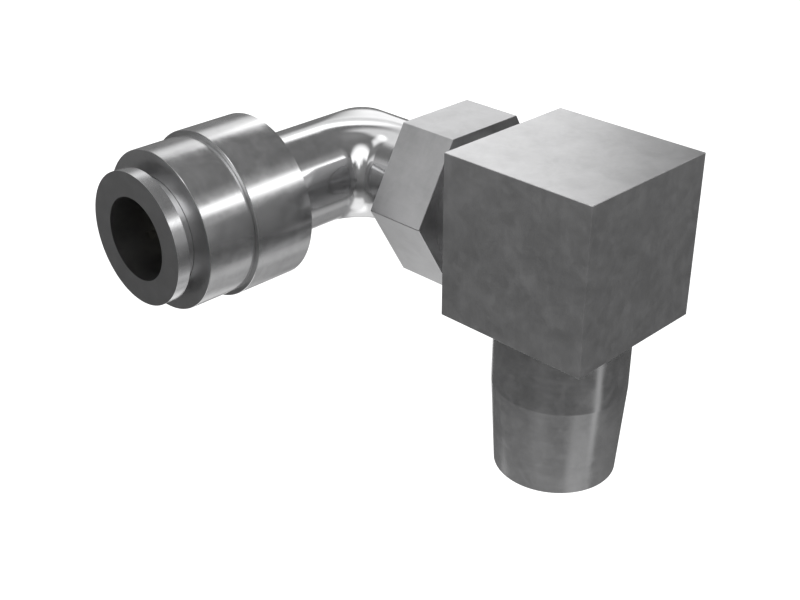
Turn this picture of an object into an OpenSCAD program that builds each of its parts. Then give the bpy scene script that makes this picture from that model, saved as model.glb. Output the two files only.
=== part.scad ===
// Swivelling push-in elbow screwed into a square right-angle adapter, for a grease line of 6 mm tube.
// Millimetres. The origin is on the inlet spigot's axis at the underside of the block, with +Z up.
// The inlet spigot points along -Z, the hex stud leaves the block along -X and the tube enters along +Y.

/* [Adapter block] */
// Side of the square block
block_side = 12.7; // [12.5:0.1:14]
// Bore of the passage from the inlet up to the side port
inlet_passage = 5; // [3.5:0.1:6]
// Outside diameter of the inlet spigot and of the stud's shank, the size of a 1/8 taper pipe thread
pipe_diameter = 10.287; // [9.9:0.01:10.6]
// Length of the inlet spigot below the block
spigot_length = 12.7; // [9:0.1:16]
// Length of the straight part of the inlet spigot
spigot_straight = 5.46; // [3:0.01:8]
// Diameter at the inlet spigot's lower end
spigot_end = 9.37; // [8.6:0.01:9.8]
// Depth of the full-size part of the side port
port_depth = 4.4; // [4:0.1:5]

/* [Hex stud] */
// Width across the flats of the hexagon
hex_flats = 12; // [11.8:0.1:14]
// Thickness of the hexagon
hex_thickness = 5; // [4.6:0.1:7]
// Gap between the hexagon and the block, where the shank shows
stud_gap = 1.8; // [0.8:0.1:3]
// Length of the stud's shank inside the block
stud_engagement = 3.75; // [3.2:0.05:3.9]
// Bore of the stud's inner end, round the retaining clip
stud_relief = 8.2; // [8.2:0.05:8.6]

/* [Elbow] */
// Outside diameter of the elbow
elbow_diameter = 8; // [7.8:0.05:8.3]
// Distance from the far face of the hexagon to the axis of the tube socket
elbow_reach = 8.2; // [8:0.1:12]
// Distance from the stud's axis to the back of the socket housing
elbow_leg = 11; // [10.6:0.1:15]
// Plan radius of the corner at its innermost and outermost lines
corner_tight = 1.33; // [0.8:0.01:2]
// Plan radius of the corner at its widest, near the top and bottom of the section
corner_wide = 5; // [3:0.05:5.8]
// Bore of the grease passage through the elbow
elbow_passage = 3.2; // [2.4:0.1:3.4]

/* [Swivel] */
// Diameter of the journal that turns in the stud
journal_diameter = 6; // [5.8:0.05:6.2]
// Radial running clearance between the elbow and the stud
swivel_clearance = 0.05; // [0.02:0.01:0.08]
// End play of the swivel at its shoulder and at its clip
swivel_play = 0.1; // [0.05:0.01:0.2]
// Depth of the elbow's full diameter in the hexagon
shank_depth = 3; // [2.4:0.1:3.2]
// Thickness of the swivel seal's cord
swivel_cord = 0.66; // [0.6:0.01:0.7]
// Thickness of the retaining clip
clip_thickness = 0.7; // [0.5:0.05:0.8]
// Outside diameter of the retaining clip
clip_diameter = 7.6; // [7:0.1:7.6]
// Angle of the gap in the retaining clip
clip_gap = 70; // [40:5:110]

/* [Tube socket] */
// Outside diameter of the tube that the socket takes
tube_diameter = 6; // [5.9:0.01:6.05]
// Diameter of the socket housing
housing_diameter = 12.7; // [12.4:0.1:14]
// Length of the socket housing
housing_length = 5; // [4.8:0.1:7]
// Thickness of the housing's back wall, where the elbow is brazed in
housing_back = 1.2; // [1:0.1:1.4]
// Diameter of the cap that carries the collet
cap_diameter = 12; // [11.6:0.1:12.4]
// Length of the cap outside the housing
cap_length = 4; // [3.8:0.1:5]
// Diameter at which the cap is pressed into the housing
cap_press = 10.4; // [10:0.1:10.8]
// Distance from the stud's axis to the shoulder that stops the tube
tube_stop = 8; // [6:0.1:9]

/* [Tube seal] */
// Thickness of the tube seal's cord
seal_cord = 1.46; // [1.4:0.01:1.5]
// Length of the seat that holds the tube seal
seal_seat = 1.7; // [1.6:0.05:1.8]
// Thickness of the backing ring in front of the tube seal
backing_thickness = 0.6; // [0.4:0.05:0.65]

/* [Collet] */
// Diameter of the release flange
flange_diameter = 10; // [9:0.1:11]
// Thickness of the release flange
flange_thickness = 1; // [0.8:0.1:1.5]
// Travel of the collet when it's pressed to release the tube
release_travel = 1; // [0.6:0.05:1.05]
// Outside diameter of the collet's sleeve
sleeve_diameter = 8.2; // [8:0.05:8.4]
// Bore of the collet
collet_bore = 6.25; // [6.15:0.01:6.35]
// Diameter of the fingers' heads behind the cam
head_diameter = 9.2; // [9:0.05:9.3]
// Radial sliding clearance between the collet's sleeve and the cap
collet_clearance = 0.05; // [0.02:0.01:0.08]
// Number of fingers
finger_count = 6; // [4:1:8]
// Width of the slots between the fingers
finger_slot = 0.6; // [0.4:0.05:0.7]
// Height of the biting edge inside the fingers
bite_height = 0.09; // [0.05:0.01:0.1]

/* [Hidden] */
axis_z = block_side / 2;
pipe_r = pipe_diameter / 2;
elbow_r = elbow_diameter / 2;
journal_r = journal_diameter / 2;
tube_r = tube_diameter / 2;
face_x = -block_side / 2;
hex_near = face_x - stud_gap;
hex_far = hex_near - hex_thickness;
shank_end = face_x + stud_engagement;
corner_x = hex_far - elbow_reach;
journal_start = hex_far + shank_depth;
stud_shoulder = journal_start + swivel_play;
relief_start = face_x;
clip_start = relief_start + swivel_play;
clip_end = clip_start + clip_thickness;
journal_end = clip_end + 0.65;
clip_seat_r = journal_r - 0.5;
seal_groove_r = journal_r + swivel_clearance - 0.04 - swivel_cord;
seal_groove_start = journal_start + 0.95;
seal_groove_end = seal_groove_start + swivel_cord + 0.74;
relief_r = stud_relief / 2;
floor_x = face_x + port_depth + 4.5;
chamber_r = pipe_r - 0.75;
socket_r = tube_r + 0.1;
seat_start = elbow_leg + housing_back;
seal_r = tube_r + 0.03 + seal_cord / 2;
seat_r = seal_r + seal_cord / 2 + 0.01;
backing_start = seat_start + seal_seat;
backing_end = backing_start + backing_thickness;
press_r = cap_press / 2;
cap_start = elbow_leg + housing_length;
cap_end = cap_start + cap_length;
sleeve_r = sleeve_diameter / 2;
lip_r = sleeve_r + collet_clearance;
head_r = head_diameter / 2;
cam_r = head_r + 0.15;
cam_front = cap_end - 1.4;
cam_back = cam_front - (cam_r - lip_r) * 2.3;
flange_back = cap_end + release_travel;
collet_face = flange_back + flange_thickness;
collet_end = backing_end + release_travel + 0.1;
bite_s = collet_end + 0.4;
finger_root = cap_end - 0.6;
bore_r = collet_bore / 2;
skin_inset = 0.01;
skin_steps = 56;
bend_steps = 12;
overlap = 0.15;

// Turns a shape drawn round +Z so that it lies along +X on the stud's axis
module on_stud() {
    translate([0, 0, axis_z])
        rotate([0, 90, 0])
            children();
}

// Turns a shape drawn round +Z so that it lies along -Y on the tube's axis
module on_tube() {
    translate([corner_x, 0, axis_z])
        rotate([90, 0, 0])
            children();
}

// A turned body from a list of [radius, distance] points
module turned(points, faces = 96) {
    rotate_extrude($fn = faces)
        polygon(points);
}

// Square block with the inlet spigot, the inlet passage and the side port
module block_body() {
    color([0.62, 0.62, 0.63])
        difference() {
            union() {
                translate([-block_side / 2, -block_side / 2, 0])
                    cube(block_side);
                turned([[0, 1], [pipe_r, 1], [pipe_r, -spigot_straight], [spigot_end / 2, -spigot_length],
                    [0, -spigot_length]]);
            }
            translate([0, 0, -spigot_length - 1])
                cylinder(d = inlet_passage, h = spigot_length + 1 + axis_z, $fn = 64);
            on_stud()
                turned([[0, face_x - 1], [pipe_r, face_x - 1], [pipe_r, face_x + port_depth],
                    [chamber_r, face_x + port_depth + 0.75], [chamber_r, floor_x],
                    [0, floor_x + chamber_r * 0.6]]);
        }
}

// Hexagon and shank, bored in steps for the elbow's swivel journal
module hex_stud() {
    color([0.66, 0.66, 0.67])
        difference() {
            union() {
                on_stud()
                    translate([0, 0, hex_far])
                        rotate([0, 0, 90])
                            cylinder(d = hex_flats / cos(30), h = hex_thickness, $fn = 6);
                on_stud()
                    turned([[0, hex_near - 1], [pipe_r, hex_near - 1], [pipe_r, shank_end - 0.4],
                        [pipe_r - 0.4, shank_end], [0, shank_end]]);
            }
            on_stud()
                turned([[0, hex_far - 1], [elbow_r + swivel_clearance, hex_far - 1],
                    [elbow_r + swivel_clearance, stud_shoulder], [journal_r + swivel_clearance, stud_shoulder],
                    [journal_r + swivel_clearance, relief_start], [relief_r, relief_start],
                    [relief_r, shank_end + 1], [0, shank_end + 1]]);
        }
}

// Plan radius of the corner for the line at angle a round the section, 0 outermost and 180 innermost:
// widest 80 degrees away from the innermost line
function corner_r(a) = corner_tight
    + (corner_wide - corner_tight) * pow(max(cos(abs(180 - a) - 80), 0), 8);

// Point of the corner's skin at angle a round the section and angle b round the corner
function corner_point(a, b, r) = let (o = r * cos(a), c = corner_r(a))
    [corner_x - o + c + c * cos(b), o - c + c * sin(b), axis_z + r * sin(a)];

// Outer skin of the elbow: straight lines that turn the corner in plan arcs whose radius changes round the section
module elbow_skin(r, start_x, end_s) {
    first = [for (i = [0:skin_steps - 1]) let (a = 360 * i / skin_steps)
        [start_x, r * cos(a), axis_z + r * sin(a)]];
    bend = [for (j = [0:bend_steps]) for (i = [0:skin_steps - 1])
        corner_point(360 * i / skin_steps, 90 + 90 * j / bend_steps, r)];
    last = [for (i = [0:skin_steps - 1]) let (a = 360 * i / skin_steps)
        [corner_x - r * cos(a), -end_s, axis_z + r * sin(a)]];
    rows = bend_steps + 3;
    sides = [for (j = [0:rows - 2]) for (i = [0:skin_steps - 1]) let (k = (i + 1) % skin_steps)
        each [[j * skin_steps + i, j * skin_steps + k, (j + 1) * skin_steps + k],
            [j * skin_steps + i, (j + 1) * skin_steps + k, (j + 1) * skin_steps + i]]];
    near_end = [for (i = [0:skin_steps - 1]) skin_steps - 1 - i];
    far_end = [for (i = [0:skin_steps - 1]) (rows - 1) * skin_steps + i];
    polyhedron(points = concat(first, bend, last), faces = concat([near_end], sides, [far_end]), convexity = 4);
}

// Elbow with its swivel journal at one end and the tube socket at the other
module elbow_body() {
    color([0.74, 0.74, 0.75])
        difference() {
            union() {
                elbow_skin(elbow_r - skin_inset, hex_far + 0.4, elbow_leg + 0.4);
                on_stud()
                    turned([[0, hex_far + 0.4 - overlap], [elbow_r, hex_far + 0.4 - overlap],
                        [elbow_r, journal_start], [journal_r, journal_start],
                        [journal_r, seal_groove_start], [seal_groove_r, seal_groove_start],
                        [seal_groove_r, seal_groove_end], [journal_r, seal_groove_end],
                        [journal_r, clip_start], [clip_seat_r, clip_start],
                        [clip_seat_r, clip_end], [journal_r, clip_end],
                        [journal_r, journal_end - 0.2], [journal_r - 0.2, journal_end], [0, journal_end]]);
                on_tube()
                    turned([[0, elbow_leg + 0.4 - overlap], [elbow_r, elbow_leg + 0.4 - overlap],
                        [elbow_r, seat_start], [0, seat_start]]);
            }
            on_stud()
                translate([0, 0, corner_x])
                    cylinder(d = elbow_passage, h = journal_end - corner_x + 1, $fn = 64);
            on_tube()
                turned([[0, -elbow_passage / 2], [elbow_passage / 2, -elbow_passage / 2],
                    [elbow_passage / 2, tube_stop], [socket_r, tube_stop], [socket_r, seat_start + 1],
                    [0, seat_start + 1]]);
        }
}

// Ring seal in the journal's groove
module swivel_seal() {
    color([0.12, 0.12, 0.13])
        on_stud()
            translate([0, 0, (seal_groove_start + seal_groove_end) / 2])
                rotate_extrude($fn = 96)
                    translate([seal_groove_r + 0.01 + swivel_cord / 2, 0])
                        circle(d = swivel_cord, $fn = 32);
}

// Open spring clip that keeps the journal in the stud
module swivel_clip() {
    color([0.4, 0.4, 0.42])
        on_stud()
            translate([0, 0, clip_start])
                difference() {
                    cylinder(d = clip_diameter, h = clip_thickness, $fn = 96);
                    translate([0, 0, -1])
                        cylinder(r = clip_seat_r, h = clip_thickness + 2, $fn = 96);
                    translate([0, 0, -1])
                        linear_extrude(clip_thickness + 2)
                            polygon([[0, 0], [9, -9 * tan(clip_gap / 2)], [9, 9 * tan(clip_gap / 2)]]);
                }
}

// Housing of the tube socket, turned, with the seat for the tube seal
module socket_housing() {
    color([0.68, 0.68, 0.69])
        on_tube()
            turned([[elbow_r, elbow_leg], [housing_diameter / 2, elbow_leg], [housing_diameter / 2, cap_start],
                [press_r, cap_start], [press_r, backing_start], [seat_r, backing_start],
                [seat_r, seat_start], [elbow_r, seat_start]]);
}

// Cap pressed into the housing, with the cam that closes the collet's fingers
module cartridge_cap() {
    color([0.7, 0.7, 0.71])
        on_tube()
            turned([[cam_r, backing_end], [press_r, backing_end], [press_r, cap_start],
                [cap_diameter / 2, cap_start], [cap_diameter / 2, cap_end], [lip_r, cap_end],
                [lip_r, cam_front], [cam_r, cam_back]]);
}

// Flat ring between the tube seal and the collet
module backing_ring() {
    color([0.85, 0.83, 0.78])
        on_tube()
            turned([[socket_r + 0.05, backing_start], [press_r, backing_start], [press_r, backing_end],
                [socket_r + 0.05, backing_end]]);
}

// Ring seal round the tube
module tube_seal() {
    color([0.12, 0.12, 0.13])
        on_tube()
            translate([0, 0, seat_start + seal_seat / 2])
                rotate_extrude($fn = 96)
                    translate([seal_r, 0])
                        circle(d = seal_cord, $fn = 32);
}

// Release flange, sleeve and slotted fingers with their cam heads and biting edge, in one piece
module collet() {
    color([0.64, 0.64, 0.66])
        on_tube()
            difference() {
                turned([[bore_r, collet_face], [flange_diameter / 2, collet_face],
                    [flange_diameter / 2, flange_back], [sleeve_r, flange_back],
                    [sleeve_r, cam_front - 0.25], [head_r, cam_front - 0.25 - (head_r - sleeve_r) * 2.3],
                    [head_r, collet_end + 0.3], [head_r - 0.3, collet_end],
                    [bore_r + 0.2, collet_end], [bore_r - bite_height, bite_s],
                    [bore_r, bite_s + 0.4]]);
                for (i = [0:finger_count - 1])
                    rotate([0, 0, 360 * (i + 0.5) / finger_count])
                        translate([0, -finger_slot / 2, collet_end - 1])
                            cube([head_r + 1, finger_slot, finger_root - collet_end + 1]);
            }
}

block_body();
hex_stud();
elbow_body();
swivel_seal();
swivel_clip();
socket_housing();
cartridge_cap();
backing_ring();
tube_seal();
collet();
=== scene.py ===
import math

import bmesh
import bpy
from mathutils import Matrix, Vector


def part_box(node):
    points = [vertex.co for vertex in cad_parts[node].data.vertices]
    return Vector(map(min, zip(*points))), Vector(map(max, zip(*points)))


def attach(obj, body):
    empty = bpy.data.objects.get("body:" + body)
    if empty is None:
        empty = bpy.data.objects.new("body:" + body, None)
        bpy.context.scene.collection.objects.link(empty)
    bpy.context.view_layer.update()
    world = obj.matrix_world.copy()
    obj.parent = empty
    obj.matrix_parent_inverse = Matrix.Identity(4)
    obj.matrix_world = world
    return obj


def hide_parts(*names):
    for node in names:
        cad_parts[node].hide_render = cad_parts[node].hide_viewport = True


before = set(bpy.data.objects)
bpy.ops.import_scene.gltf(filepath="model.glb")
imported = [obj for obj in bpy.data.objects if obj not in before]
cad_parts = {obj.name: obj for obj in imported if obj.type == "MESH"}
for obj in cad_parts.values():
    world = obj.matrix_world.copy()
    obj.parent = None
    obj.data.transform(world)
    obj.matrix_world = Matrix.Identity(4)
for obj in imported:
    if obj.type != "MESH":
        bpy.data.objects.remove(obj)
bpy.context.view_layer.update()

bl_info = {
    "name": "Grease line elbow",
    "version": (1, 0, 0),
    "blender": (4, 5, 0),
    "location": "View3D > Sidebar > Grease elbow",
    "description": "Models and finishes a swivelling push-in elbow on a square right-angle adapter",
    "category": "Object",
}

MM = 0.001
NEAR = 2e-6  # places closer than this are the same place
MERGE = 1e-7  # points closer than this are made one
CLEAR = 0.1 * MM  # a difference in radius that tells two surfaces apart
STEPS = 192  # facets round a turned piece

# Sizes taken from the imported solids
BLOCK_LOW, BLOCK_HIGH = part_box("block_body")
HEX_LOW, HEX_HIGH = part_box("hex_stud")
HOUSING_LOW, HOUSING_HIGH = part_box("socket_housing")
CAP_LOW, CAP_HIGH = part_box("cartridge_cap")
COLLET_LOW, COLLET_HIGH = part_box("collet")
ELBOW_LOW, ELBOW_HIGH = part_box("elbow_body")
AXIS_Z = (HOUSING_LOW.z + HOUSING_HIGH.z) / 2
CORNER_X = (HOUSING_LOW.x + HOUSING_HIGH.x) / 2
HEX_FAR = HEX_LOW.x
SHANK_END = HEX_HIGH.x
JOURNAL_END = ELBOW_HIGH.x
# Distances along the tube's axis, from the corner
TUBE_END = -ELBOW_LOW.y
HOUSING_BACK = -HOUSING_HIGH.y
CAP_START = -HOUSING_LOW.y
CAP_END = -CAP_LOW.y
COLLET_FACE = -COLLET_LOW.y
COLLET_END = -COLLET_HIGH.y

# Axes, each as a point and a direction
STUD_AXIS = ((0, 0, AXIS_Z), (1, 0, 0))
TUBE_AXIS = ((CORNER_X, 0, AXIS_Z), (0, -1, 0))
SPIGOT_AXIS = ((0, 0, 0), (0, 0, 1))

# Sizes of hidden forms, which the boxes of the solids don't give
OVERLAP = 1 * MM  # how far a shape reaches into or past the one that it joins or cuts
SWIVEL_CLEARANCE = 0.05 * MM  # round the elbow in the stud
PORT_STEP = 0.75 * MM  # from the side port's radius down to the chamber's
CHAMBER_LENGTH = 4.5 * MM
DRILL_POINT = 0.6  # depth of a drilled end against its radius
SHANK_CHAMFER = 0.4 * MM
MOUTH_DEPTH = 3.1 * MM  # of the stud's mouth, which the elbow's full diameter enters
ELBOW_ENTRY = 3 * MM
SEAL_GROOVE_RADIUS = 2.35 * MM
SEAL_GROOVE = (0.95 * MM, 2.35 * MM)  # from the elbow's shoulder
CLIP_GROOVE_DEPTH = 0.5 * MM
CLIP_GROOVE = (0.1 * MM, 0.8 * MM)  # from the block's side
JOURNAL_CHAMFER = 0.2 * MM
SEAT_LENGTH = 1.7 * MM  # of the tube seal's seat
BACKING_LENGTH = 0.6 * MM  # of the room for the backing ring
LIP_LENGTH = 1.4 * MM
CAM_SLOPE = 2.3  # length of the cam against its height
HEAD_GAP = 0.25 * MM  # between the cap's lip and the cam heads of the collet
HEAD_CHAMFER = 0.3 * MM
FINGER_END_WALL = 0.2 * MM
BITE_LENGTH = 0.4 * MM
BITE_HEIGHT = 0.09 * MM
SLOT_START = 0.6 * MM  # from the cap's face
SLOT_TURNS = (30, 90, 150)


# Bench tools

def put_down():
    """Leaves edit mode with nothing selected."""
    if bpy.context.mode != "OBJECT":
        bpy.ops.object.mode_set(mode="OBJECT")
    bpy.ops.object.select_all(action="DESELECT")


def pick_up(piece):
    """Makes one piece the only selected and active one."""
    put_down()
    piece.select_set(True)
    bpy.context.view_layer.objects.active = piece


def choose(kind, test):
    """Selects what passes the test in the piece that is in edit mode."""
    bpy.ops.mesh.select_mode(type=kind)
    bpy.ops.mesh.select_all(action="DESELECT")
    mesh = bpy.context.edit_object.data
    shape = bmesh.from_edit_mesh(mesh)
    parts = {"VERT": shape.verts, "EDGE": shape.edges, "FACE": shape.faces}[kind]
    chosen = [part for part in parts if test(part)]
    if not chosen:
        raise RuntimeError(f"nothing to select on {bpy.context.edit_object.name}")
    for part in chosen:
        part.select_set(True)
    shape.select_flush_mode()
    bmesh.update_edit_mesh(mesh)


def choose_rim(axis, place):
    """Selects the open ring at a place along x, axis 0, or y, axis 1."""
    choose("EDGE", lambda e: e.is_boundary and all(abs(v.co[axis] - place) < NEAR for v in e.verts))


def named(name):
    """Names the active object and its mesh, and moves its place into the mesh."""
    piece = bpy.context.object
    piece.name = piece.data.name = name
    bpy.ops.object.transform_apply(location=True, rotation=True, scale=True)
    return piece


def open_up(kind="VERT"):
    """Opens the active piece in edit mode, with everything on it selected."""
    bpy.ops.object.mode_set(mode="EDIT")
    bpy.ops.mesh.select_mode(type=kind)
    bpy.ops.mesh.select_all(action="SELECT")


def cut_off(place, normal, ahead=False):
    """Cuts what is selected with a plane and takes away the part behind it, or the part ahead of it."""
    bpy.ops.mesh.bisect(plane_co=place, plane_no=normal, clear_inner=not ahead, clear_outer=ahead,
                        threshold=MERGE)


def close_up():
    """Merges the seams and poles of the piece in edit mode and turns its faces outwards."""
    bpy.ops.mesh.select_all(action="SELECT")
    bpy.ops.mesh.remove_doubles(threshold=MERGE)
    bpy.ops.mesh.normals_make_consistent(inside=False)
    bpy.ops.object.mode_set(mode="OBJECT")


def smooth(piece, degrees=2.5):
    """Shades the piece smooth and keeps every edge sharper than the angle."""
    pick_up(piece)
    bpy.ops.object.shade_smooth_by_angle(angle=math.radians(degrees))


def from_axis(place, axis):
    """How far a place is from an axis."""
    along = Vector(axis[1])
    away = Vector(place) - Vector(axis[0])
    return (away - along * away.dot(along)).length


def is_corner(v, sharp=math.radians(20)):
    """Whether an outline turns sharply at a point."""
    if len(v.link_edges) < 2:
        return False
    a, b = (e.other_vert(v).co - v.co for e in v.link_edges)
    return math.pi - a.angle(b) > sharp


def turned(name, outline, axis, edge_break=0.0, steps=STEPS):
    """A turned piece. The outline lists (radius, distance along the axis) and is spun round the axis. Where
    an edge break is given, the outline's sharp corners get a small chamfer before the spin."""
    start, along = Vector(axis[0]), Vector(axis[1])
    out = along.orthogonal().normalized() if abs(along.z) > 0.5 else Vector((0, 0, 1))
    points = [start + out * radius + along * distance for radius, distance in outline]
    put_down()
    bpy.ops.mesh.primitive_plane_add(size=0.1 * MM, location=points[0])
    piece = named(name)
    open_up()
    bpy.ops.mesh.merge(type="CENTER")
    for here, there in zip(points, points[1:]):
        bpy.ops.mesh.extrude_vertices_move(TRANSFORM_OT_translate={"value": there - here})
    if min(radius for radius, _ in outline) > NEAR:
        choose("VERT", lambda v: len(v.link_edges) < 2)
        bpy.ops.mesh.edge_face_add()
    if edge_break > 0:
        choose("VERT", is_corner)
        bpy.ops.mesh.bevel(offset_type="OFFSET", offset=edge_break, segments=1, affect="VERTICES")
    bpy.ops.mesh.select_all(action="SELECT")
    bpy.ops.mesh.spin(steps=steps, angle=2 * math.pi, center=start, axis=along)
    close_up()
    return piece


def joined(piece, tool, operation):
    """Adds the tool to the piece or cuts it out of the piece, and puts the tool away."""
    pick_up(piece)
    step = piece.modifiers.new("tool", "BOOLEAN")
    step.operation = operation
    step.solver = "EXACT"
    step.object = tool
    bpy.ops.object.modifier_apply(modifier=step.name)
    bpy.data.objects.remove(tool)


def break_edges(piece, size):
    """Breaks all the edges of a prismatic piece with a small chamfer."""
    pick_up(piece)
    open_up("EDGE")
    bpy.ops.mesh.bevel(offset_type="OFFSET", offset=size, segments=1, affect="EDGES")
    bpy.ops.object.mode_set(mode="OBJECT")


def carry_ring(axis, distance, old, new):
    """Carries the selected ring along the axis and changes its radius from old to new."""
    start, along = Vector(axis[0]), Vector(axis[1])
    bpy.ops.mesh.extrude_region_move(TRANSFORM_OT_translate={"value": along * distance})
    if abs(new - old) > NEAR:
        sizes = tuple(1.0 if part else new / old for part in along)
        bpy.ops.transform.resize(value=sizes, center_override=start)


# Nodes of a finish

FLOAT, VECTOR = "NodeSocketFloat", "NodeSocketVector"


def put(tree, kind, values=(), **settings):
    """Adds a node, with its settings and with its inputs set or linked."""
    node = tree.nodes.new(kind)
    for key, value in settings.items():
        setattr(node, key, value)
    for key, value in dict(values).items():
        if isinstance(value, bpy.types.NodeSocket):
            tree.links.new(value, node.inputs[key])
        else:
            node.inputs[key].default_value = value
    return node


def maths(tree, operation, *values):
    """One sum of numbers or values."""
    return put(tree, "ShaderNodeMath", dict(enumerate(values)), operation=operation).outputs[0]


def vectors(tree, operation, first, second=(0, 0, 0), output="Vector"):
    """One sum of two vectors."""
    return put(tree, "ShaderNodeVectorMath", {0: first, 1: second}, operation=operation).outputs[output]


def spread(tree, value, low, high, to_low, to_high, curve="LINEAR"):
    """The value's range from low to high, turned into another range and held inside it."""
    return put(tree, "ShaderNodeMapRange", {0: value, 1: low, 2: high, 3: to_low, 4: to_high},
               interpolation_type=curve).outputs[0]


def noise(tree, place, offset, scale, detail, roughness, distortion=0.0):
    """Noise whose pattern changes with the offset."""
    return put(tree, "ShaderNodeTexNoise", {
        "Vector": place, "W": offset, "Scale": scale, "Detail": detail, "Roughness": roughness,
        "Distortion": distortion}, noise_dimensions="4D").outputs[0]


def blend_colours(tree, share, first, second, kind="MIX"):
    """The second colour laid over the first by the share."""
    return put(tree, "ShaderNodeMix", {0: share, 6: first, 7: second}, data_type="RGBA",
               blend_type=kind).outputs[2]


def scaled(colour, factor):
    """A colour made lighter or darker, with its alpha."""
    return tuple(min(1.0, part * factor) for part in colour) + (1.0,)


def new_group(name, inputs, outputs):
    """An empty shader group with named sockets, its given inputs and the sockets that it fills."""
    group = bpy.data.node_groups.new(name, "ShaderNodeTree")
    for title, kind, value in inputs:
        socket = group.interface.new_socket(name=title, in_out="INPUT", socket_type=kind)
        if value is not None:
            socket.default_value = value
    for title in outputs:
        group.interface.new_socket(name=title, in_out="OUTPUT", socket_type=FLOAT)
    given = group.nodes.new("NodeGroupInput").outputs
    return group, given, group.nodes.new("NodeGroupOutput").inputs


# Effects, each made once and placed wherever a finish or the tent asks for it

def make_cloudy_patches():
    """Cloudy patches, as handling and storage leave on bare steel: large ones with finer wisps in them. Mask
    is the large ones, Wisp the light wisps, Grain the wisps' whole range and Relief slight waves."""
    group, given, made = new_group(
        "cloudy_patches",
        [("Vector", VECTOR, None), ("Patch", FLOAT, 2 * MM), ("Softness", FLOAT, 0.15),
         ("Offset", FLOAT, 0.0)],
        ["Mask", "Wisp", "Grain", "Relief"],
    )
    place, offset = given["Vector"], given["Offset"]
    scale = maths(group, "DIVIDE", 1.0, given["Patch"])
    large = noise(group, place, offset, scale, detail=6.0, roughness=0.6, distortion=0.4)
    wisps = noise(group, place, maths(group, "ADD", offset, 3.0), maths(group, "MULTIPLY", scale, 1.6),
                  detail=7.0, roughness=0.64, distortion=0.8)
    waves = noise(group, place, offset, maths(group, "MULTIPLY", scale, 4.0), detail=2.0, roughness=0.4)
    low = maths(group, "SUBTRACT", 0.5, given["Softness"])
    high = maths(group, "ADD", 0.5, given["Softness"])
    group.links.new(spread(group, large, low, high, 0.0, 1.0), made["Mask"])
    group.links.new(spread(group, wisps, 0.45, 0.7, 0.0, 1.0), made["Wisp"])
    group.links.new(spread(group, wisps, 0.3, 0.7, 0.0, 1.0), made["Grain"])
    group.links.new(waves, made["Relief"])
    return group


def make_fine_lines():
    """Fine straight marks, as a file, a brush or a lathe leaves: noise drawn out along one direction."""
    group, given, made = new_group(
        "fine_lines",
        [("Vector", VECTOR, None), ("Stretch", VECTOR, (1, 1, 1)), ("Offset", FLOAT, 0.0)],
        ["Mask"],
    )
    drawn = vectors(group, "MULTIPLY", given["Vector"], given["Stretch"])
    lines = noise(group, drawn, given["Offset"], 3500.0, detail=2.0, roughness=0.6)
    group.links.new(spread(group, lines, 0.3, 0.7, 0.0, 1.0), made["Mask"])
    return group


def make_light_specks():
    """Small light specks and nicks, scattered thinly."""
    group, given, made = new_group(
        "light_specks",
        [("Vector", VECTOR, None), ("Spacing", FLOAT, 1.5 * MM), ("Size", FLOAT, 0.08)],
        ["Mask"],
    )
    cells = put(group, "ShaderNodeTexVoronoi", {
        "Vector": given["Vector"], "Scale": maths(group, "DIVIDE", 1.0, given["Spacing"])}).outputs
    chance = put(group, "ShaderNodeSeparateColor", {0: cells["Color"]}).outputs[0]
    lone = spread(group, chance, 0.72, 0.8, 0.0, 1.0)
    dot = spread(group, cells["Distance"], 0.0, given["Size"], 1.0, 0.0)
    group.links.new(maths(group, "MULTIPLY", lone, dot), made["Mask"])
    return group


def make_near_block_edge():
    """How near a point of a square block's surface is to its edges: 1 on an edge, 0 past the width."""
    group, given, made = new_group(
        "near_block_edge",
        [("Vector", VECTOR, None), ("Centre", VECTOR, None), ("Half", VECTOR, None),
         ("Width", FLOAT, 0.3 * MM)],
        ["Mask"],
    )
    away = vectors(group, "ABSOLUTE", vectors(group, "SUBTRACT", given["Vector"], given["Centre"]))
    inside = vectors(group, "SUBTRACT", given["Half"], away)
    x, y, z = put(group, "ShaderNodeSeparateXYZ", {0: inside}).outputs[:]
    middle = maths(group, "MAXIMUM", maths(group, "MINIMUM", x, y),
                   maths(group, "MINIMUM", maths(group, "MAXIMUM", x, y), z))
    near = spread(group, middle, 0.0, given["Width"], 1.0, 0.0, curve="SMOOTHSTEP")
    group.links.new(near, made["Mask"])
    return group


def make_near_rim():
    """How near a point is to either of two rims along an axis: 1 on the rim, 0 past the width."""
    group, given, made = new_group(
        "near_rim",
        [("Along", FLOAT, None), ("First", FLOAT, 0.0), ("Second", FLOAT, 0.0), ("Width", FLOAT, 0.3 * MM)],
        ["Mask"],
    )
    first = maths(group, "ABSOLUTE", maths(group, "SUBTRACT", given["Along"], given["First"]))
    second = maths(group, "ABSOLUTE", maths(group, "SUBTRACT", given["Along"], given["Second"]))
    nearer = maths(group, "MINIMUM", first, second)
    near = spread(group, nearer, 0.0, given["Width"], 1.0, 0.0, curve="SMOOTHSTEP")
    group.links.new(near, made["Mask"])
    return group


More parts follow.
